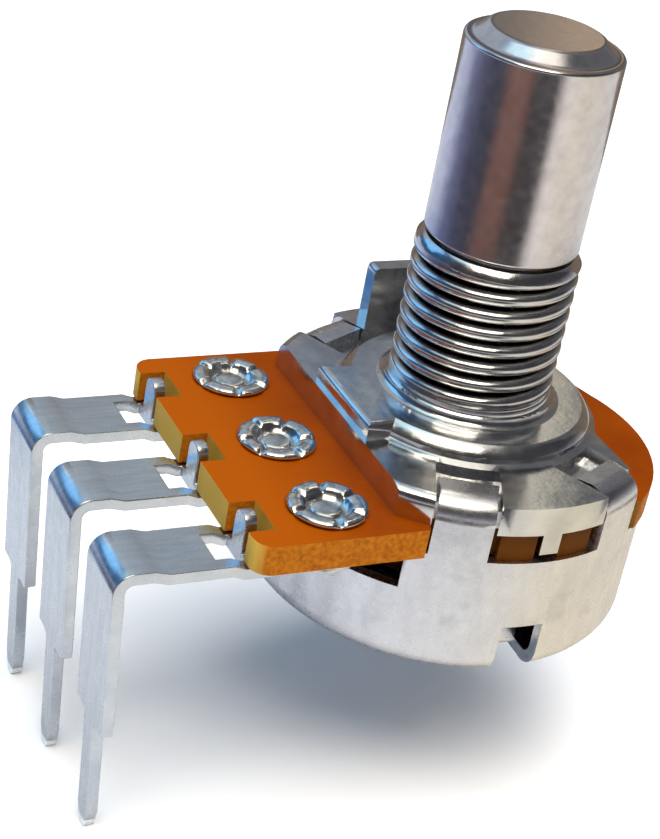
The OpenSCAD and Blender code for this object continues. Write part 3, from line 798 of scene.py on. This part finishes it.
# %% Shaft and cover
END_CHAMFER_H, END_CHAMFER_W = 0.5, 0.9
SHAFT_RIM, CAD_SHAFT_RIM = 6.9, 7.15
SHAFT_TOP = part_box("shaft")[1].z / MM
SHAFT_R = mount_named("shaft_end")["dims"]["r_mm"]
END_FROM, END_CENTRE_R = 14, 2


def trim_shaft(x, y, z):
    radius = math.hypot(x, y)
    if z > SHAFT_TOP - SLACK and radius > END_CENTRE_R:
        x, y = at_radius(x, y, SHAFT_R - END_CHAMFER_W)
    elif z > END_FROM:
        z = SHAFT_TOP - END_CHAMFER_H
    elif abs(z - CAD_SHAFT_RIM) < 2 * SLACK:
        z = SHAFT_RIM
    return x, y, z


FOLD_R, FOLD_Z, FOLD_MORE = 7.78, -1.30, 0.45
TAB_TIP_R, TAB_TIP_MORE = 6.6, 0.3


def round_folds(x, y, z):
    """Open the folds of the cover's tabs from 0.55 to 1.0 mm radius."""
    radius = math.hypot(x, y)
    if z > FOLD_Z - SLACK and radius > FOLD_R - SLACK:
        turn = math.atan2(z - FOLD_Z, radius - FOLD_R)
        reach = math.hypot(z - FOLD_Z, radius - FOLD_R) + FOLD_MORE
        x, y = at_radius(x, y, FOLD_R - FOLD_MORE + reach * math.cos(turn))
        z = FOLD_Z - FOLD_MORE + reach * math.sin(turn)
    elif z > FOLD_Z and radius < TAB_TIP_R:
        x, y = at_radius(x, y, radius + TAB_TIP_MORE)
    return x, y, z


edged_copy("turned_shaft", "shaft", "shaft_steel", 0.2, 4, move=trim_shaft)
edged_copy("drawn_cover", "rear_cover", "plated_steel", 0.06, move=round_folds)

# %% Wafer and terminals
LOBE_OFFSET, LOBE_R, LOBE_LEAST = 0.99, 7.06, 7.70
LOBE_FROM_R, LOBE_FROM_X = 8.3, 4.5


def trim_wafer(x, y, z):
    """Carry the far lobe to a circle whose centre is off the axis."""
    radius = math.hypot(x, y)
    if radius > LOBE_FROM_R and x > LOBE_FROM_X:
        along = LOBE_OFFSET * (x - y) / radius
        reach = along + math.sqrt(LOBE_R ** 2 - 2 * LOBE_OFFSET ** 2 + along ** 2)
        x, y = at_radius(x, y, max(reach, LOBE_LEAST))
    return x, y, z


STRIP_HALF, CAD_STRIP_HALF = 1.45, 1.6
STRIP_FAR, STRIP_NEAR, STRIP_LOW = -15.3, -12.55, -4
STRIP_CUTS = (-12.15, -12.6)
STRIP_LIFT = 0.17
UPRIGHT_FROM = -2.4
UPRIGHT_LIFT = 0.2


def trim_terminal(row):
    def move(x, y, z):
        if abs(abs(y - row) - CAD_STRIP_HALF) < SLACK:
            y = row + math.copysign(STRIP_HALF, y - row)
        if STRIP_FAR < x < STRIP_NEAR and z > STRIP_LOW:
            z = z + STRIP_LIFT
        if z > UPRIGHT_FROM:
            z = z + UPRIGHT_LIFT
        return x, y, z
    return move


def terminal(number, row):
    """A copy cut across at two stations, so that the strip can step between them."""
    node = "terminal_%d" % number
    working = merged_copy(node)
    for station in STRIP_CUTS:
        everything = working.verts[:] + working.edges[:] + working.faces[:]
        bmesh.ops.bisect_plane(
            working, geom=everything, plane_co=(station * MM, 0, 0), plane_no=(1, 0, 0))
    reshape(working, trim_terminal(row))
    piece = new_piece("stamped_" + node, working)
    soften(piece, 0.06)
    show_as(piece, node, "tinned_brass")
    print(piece.name, "stands for", node, "with", len(piece.data.polygons), "faces")
    return piece


edged_copy("punched_wafer", "wafer", "phenolic", 0.06, move=trim_wafer)
for number in (1, 2, 3):
    node_low, node_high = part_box("terminal_%d" % number)
    terminal(number, (node_low.y + node_high.y) / 2 / MM)

# %% Finishes for the nodes that keep their mesh
inner_finishes = {
    "thrust_washer": "washer_brass",
    "retaining_ring": "spring_steel",
    "resistive_track": "carbon_print",
    "end_contact_1": "silver_print",
    "end_contact_3": "silver_print",
    "collector_track": "silver_print",
    "rotor": "rotor_phenolic",
    "wiper": "phosphor_bronze",
}
for node, finish in inner_finishes.items():
    kept = frame["nodes"][node]
    kept.data.materials.clear()
    kept.data.materials.append(finishes[finish])
print("inner nodes dressed:", len(inner_finishes))

# %% [markdown]
# ## Floor and background
# The photograph's part stands on nothing visible, against white. A pale, matt
# floor just under the lowest pin gives the same brightness and a soft contact
# shadow. The floor is wide enough to fill the picture, so no horizon shows.

# %% Pale floor
FLOOR_GAP = 0.02
FLOOR_HALF = 1600
FLOOR_WHITE = (0.96, 0.96, 0.97)
FLOOR_GREY = (0.93, 0.93, 0.94)
floor_z = cad_low.z - FLOOR_GAP * MM


def pale_floor():
    working = bmesh.new()
    bmesh.ops.create_grid(working, x_segments=8, y_segments=8, size=FLOOR_HALF * MM)
    floor = new_piece("floor", working)
    floor.location.z = floor_z
    material = new_material("pale_floor")
    tree = material.node_tree
    shade = spread(tree, cloud(tree, 0.02, 3), 0.3, 0.7)
    colour = tint(tree, shade, FLOOR_WHITE, FLOOR_GREY)
    finish_material(material, colour, 0.8)
    floor.data.materials.append(material)
    return floor


pale_floor()
print("floor at z", round(floor_z / MM, 2), "mm")

# %% [markdown]
# ## Studio light
# Bright metal looks like what surrounds it, so the light is laid out by what
# each surface mirrors. A cool softbox on the terminal side draws the blue
# lines, and a warm one high in front draws the cream ones. A wide lamp
# overhead lights the board and the floor evenly, and is hidden from
# reflections so that it draws no line of its own. Each softbox is set by its
# direction and by how bright it looks.

# %% Softboxes
def direction(azimuth, elevation):
    """Azimuth 0 is the -Y side and 90 the +X side; both are in degrees."""
    turn, rise = math.radians(azimuth), math.radians(elevation)
    flat = math.cos(rise)
    return Vector((math.sin(turn) * flat, -math.cos(turn) * flat, math.sin(rise)))


def softbox(name, azimuth, elevation, distance, width, height, colour, brightness):
    data = bpy.data.lights.new(name, "AREA")
    data.shape = "RECTANGLE"
    data.size = width * MM
    data.size_y = height * MM
    data.color = colour
    data.energy = brightness * math.pi * width * MM * height * MM
    lamp = bpy.data.objects.new(name, data)
    towards = direction(azimuth, elevation)
    lamp.location = towards * distance * MM
    lamp.rotation_mode = "QUATERNION"
    lamp.rotation_quaternion = towards.to_track_quat("Z", "Y")
    bpy.context.scene.collection.objects.link(lamp)
    print(name, "power", round(data.energy, 3), "W")
    return lamp


softbox(
    "window_left", azimuth=-147, elevation=30, distance=320, width=170, height=170,
    colour=(0.24, 0.56, 0.90), brightness=1.3)
softbox(
    "warm_front", azimuth=-38, elevation=63, distance=320, width=230, height=130,
    colour=(1.0, 0.91, 0.75), brightness=4.5)
overhead = softbox(
    "overhead", azimuth=20, elevation=80, distance=700, width=800, height=800,
    colour=(1.0, 1.0, 1.0), brightness=3.5)
overhead.visible_glossy = False

# %% [markdown]
# ## What the metal sees below
# Polished metal mirrors the floor more than the sky. One large card lies on
# the floor and is seen only in reflections. It is pale near the part, then
# comes a narrow ring and a wide band with colours by direction, dark toward
# the viewer, and it is pale again far out. It gives the shaft its upright
# bands with soft edges. Single small cards would do the same, but each would
# draw hard edges and have to be placed by trial.

# %% Reflection card
def ramp_of(tree, source, stops):
    ramp = add_node(tree, "ShaderNodeValToRGB")
    feed(tree, ramp.inputs["Fac"], source)
    points = ramp.color_ramp.elements
    while len(points) < len(stops):
        points.new(0.5)
    for point, (place, colour) in zip(points, stops):
        point.position = place
        point.color = (*colour, 1)
    return ramp.outputs["Color"]


def by_azimuth(tree, position, stops):
    """Colours round the part; azimuth 0 is the -Y side, 90 the +X side."""
    place = axes_of(tree, position)
    turn = maths(tree, "ARCTAN2", place["X"], maths(tree, "MULTIPLY", place["Y"], -1.0))
    share = spread(tree, turn, -math.pi, math.pi)
    return ramp_of(tree, share, [((azimuth + 180) / 360, colour) for azimuth, colour in stops])


NEAR_COLOURS = [
    (-180, (0.50, 0.53, 0.60)), (-60, (0.54, 0.55, 0.58)), (-10, (0.58, 0.57, 0.55)),
    (30, (0.58, 0.52, 0.40)), (110, (0.54, 0.48, 0.40)), (180, (0.50, 0.53, 0.60)),
]
BAND_COLOURS = [
    (-180, (0.46, 0.49, 0.60)), (-152, (0.40, 0.43, 0.54)), (-128, (0.11, 0.11, 0.19)),
    (-104, (0.032, 0.032, 0.058)), (-80, (0.020, 0.020, 0.032)), (-66, (0.13, 0.060, 0.045)),
    (-44, (0.12, 0.052, 0.038)), (-32, (0.020, 0.017, 0.018)), (-4, (0.026, 0.022, 0.024)),
    (10, (0.60, 0.56, 0.52)), (40, (0.60, 0.54, 0.45)), (180, (0.50, 0.52, 0.58)),
]
RING_COLOURS = [
    (-180, (0.03, 0.11, 0.28)), (-138, (0.03, 0.12, 0.30)), (-116, (0.02, 0.035, 0.09)),
    (-66, (0.05, 0.024, 0.020)), (-10, (0.03, 0.026, 0.026)), (14, (0.60, 0.57, 0.56)),
    (40, (0.44, 0.42, 0.40)), (75, (0.09, 0.085, 0.09)), (140, (0.07, 0.07, 0.085)),
    (168, (0.03, 0.11, 0.28)), (180, (0.03, 0.11, 0.28)),
]


CARD_R, CARD_GAP = 900, 0.4
PALE_TO, RING_FROM = 33, 38
RING_TO, BAND_FROM = 50, 56
BAND_TO, FAR_FROM = 150, 190


def only_in_mirrors(thing):
    """Hide a stage piece from everything but reflections."""
    thing.visible_camera = False
    thing.visible_diffuse = False
    thing.visible_shadow = False


def reflection_card():
    working = bmesh.new()
    bmesh.ops.create_circle(working, cap_ends=True, segments=96, radius=CARD_R * MM)
    card = new_piece("reflection_card", working)
    card.location.z = floor_z + CARD_GAP * MM
    material = new_material("reflection_card")
    tree = material.node_tree
    position = place_of(tree)
    length = add_node(tree, "ShaderNodeVectorMath", operation="LENGTH")
    feed(tree, length.inputs[0], position)
    reach = length.outputs["Value"]
    past_near = spread(tree, reach, PALE_TO, RING_FROM)
    near = by_azimuth(tree, position, NEAR_COLOURS)
    band = by_azimuth(tree, position, BAND_COLOURS)
    ring = by_azimuth(tree, position, RING_COLOURS)
    rings = tint(tree, spread(tree, reach, BAND_FROM, RING_TO), band, ring)
    far = spread(tree, reach, BAND_TO, FAR_FROM)
    colour = tint(tree, past_near, near, rings)
    colour = tint(tree, far, colour, near)
    finish_material(material, colour, 0.8)
    card.data.materials.append(material)
    only_in_mirrors(card)
    return card


reflection_card()

# %% [markdown]
# ## What the flat tops mirror
# Seen from the camera, every flat top mirrors one small patch of the room
# behind the part. A glowing panel stands there, close enough that the front
# of the casting finds its cream stripe and the left side its blue-grey side.
# The panel could be a lamp, but one surface with a colour ramp keeps the
# stripe and its soft edges in one place.

# %% Panel behind the part
PANEL_COLOURS = [
    (-60, (0.42, 0.48, 0.54)), (-16, (0.40, 0.46, 0.52)), (-9, (0.15, 0.21, 0.31)),
    (-3, (0.42, 0.44, 0.44)), (1, (0.90, 0.85, 0.72)), (4.5, (0.90, 0.83, 0.68)),
    (8, (0.14, 0.15, 0.16)), (60, (0.11, 0.11, 0.12)),
]
PANEL_FOOT = (0.20, 0.15, 0.11)
FOOT_FADE = (-8, -1)


def back_panel(azimuth=145, elevation=29, distance=52, half=60):
    working = bmesh.new()
    bmesh.ops.create_grid(working, x_segments=4, y_segments=4, size=half * MM)
    panel = new_piece("back_panel", working)
    towards = direction(azimuth, elevation)
    panel.location = towards * distance * MM
    panel.rotation_mode = "QUATERNION"
    panel.rotation_quaternion = (-towards).to_track_quat("Z", "Y")
    material = new_material("back_panel")
    tree = material.node_tree
    place = axes_of(tree, place_of(tree))
    across = spread(tree, place["X"], -half, half)
    stops = [((mark + half) / (2 * half), colour) for mark, colour in PANEL_COLOURS]
    glowing = ramp_of(tree, across, stops)
    above_foot = spread(tree, place["Y"], *FOOT_FADE)
    glowing = tint(tree, above_foot, PANEL_FOOT, glowing)
    shader = tree.nodes["Principled BSDF"]
    feed(tree, shader.inputs["Emission Color"], glowing)
    shader.inputs["Emission Strength"].default_value = 1
    finish_material(material, (0, 0, 0, 1), 0.9)
    panel.data.materials.append(material)
    only_in_mirrors(panel)
    return panel


back_panel()

# %% [markdown]
# ## The rest of the room
# What no lamp, card or panel fills is the world itself. It is dim all round,
# palest at the horizon, with a wide blue glow on the terminal side and three
# small bright ones that the rounded edges catch as thin lines. A picture of
# a real studio could be used, but a few named glows are easier to steer.

# %% World light
SKY_COLOURS = [
    (0.0, (0.50, 0.50, 0.54)),
    (0.10, (0.26, 0.26, 0.29)),
    (0.30, (0.06, 0.055, 0.06)),
    (0.70, (0.05, 0.05, 0.055)),
    (1.0, (0.16, 0.16, 0.17)),
]
GLOWS = [
    (-155, 22, 26, 58, (0.03, 0.11, 0.27)),
    (178, 27, 7, 15, (1.6, 1.9, 2.0)),
    (-34, 84, 12, 24, (1.5, 1.42, 1.25)),
    (-120, 68, 8, 20, (0.9, 1.25, 1.4)),
]


def glow(tree, vector, azimuth, elevation, inner, outer, under, colour):
    """A soft round patch of light in the world; inner and outer are half-angles."""
    dot = add_node(tree, "ShaderNodeVectorMath", operation="DOT_PRODUCT")
    feed(tree, dot.inputs[0], vector)
    dot.inputs[1].default_value = direction(azimuth, elevation)
    edges = [math.cos(math.radians(angle)) for angle in (outer, inner)]
    mask = spread(tree, dot.outputs["Value"], *edges)
    return tint(tree, mask, under, colour)


def room_light():
    world = bpy.data.worlds.new("room")
    world.use_nodes = True
    bpy.context.scene.world = world
    tree = world.node_tree
    background = tree.nodes["Background"]
    vector = add_node(tree, "ShaderNodeTexCoord").outputs["Generated"]
    sky = ramp_of(tree, axes_of(tree, vector)["Z"], SKY_COLOURS)
    for azimuth, elevation, inner, outer, colour in GLOWS:
        sky = glow(tree, vector, azimuth, elevation, inner, outer, sky, colour)
    feed(tree, background.inputs["Color"], sky)
    print("room light has", len(GLOWS), "glows")


room_light()
bpy.context.scene.view_settings.view_transform = "Standard"
